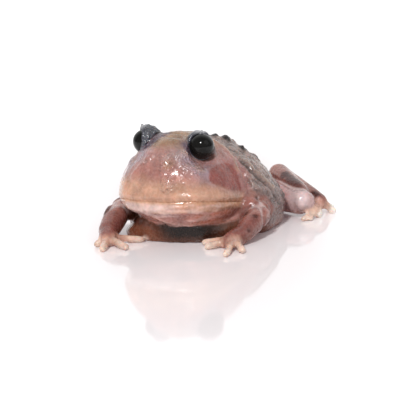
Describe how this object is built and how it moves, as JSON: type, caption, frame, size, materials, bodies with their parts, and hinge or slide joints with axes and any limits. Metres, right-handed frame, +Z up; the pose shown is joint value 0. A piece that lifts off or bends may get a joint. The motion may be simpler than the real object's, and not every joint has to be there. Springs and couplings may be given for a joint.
{
  "type": "south american horned frog",
  "caption": "Young South American horned frog sitting on its belly, still life-size model with wide head, horned eyelids, splayed hands and folded hind legs.",
  "frame": {"origin": "floor level, on the flat under the middle of the belly", "axes": "+Z up, -Y towards the snout, +X towards the frog's left"},
  "size_m": [0.0451, 0.0525, 0.023],
  "materials": {
    "head_skin": "moist pinkish tan skin with orange lip band and brown-red ear patch",
    "jaw_skin": "wet pale pink skin",
    "back_skin": "granular grey-mauve skin with dark warts",
    "limb_skin": "moist pinkish brown skin with dark blotches",
    "digit_skin": "pale peach skin",
    "eye": "glossy black"
  },
  "bodies": {
    "root": {"head": "head_skin", "lower_jaw": "jaw_skin", "torso": "back_skin", "eye_left": "eye", "eye_right": "eye", "upper_arm_left": "limb_skin", "upper_arm_right": "limb_skin", "forearm_left": "limb_skin", "forearm_right": "limb_skin", "hand_left": "digit_skin", "hand_right": "digit_skin", "thigh_left": "limb_skin", "thigh_right": "limb_skin", "shank_left": "limb_skin", "shank_right": "limb_skin", "foot_left": "digit_skin", "foot_right": "digit_skin"}
  },
  "joints": []
}
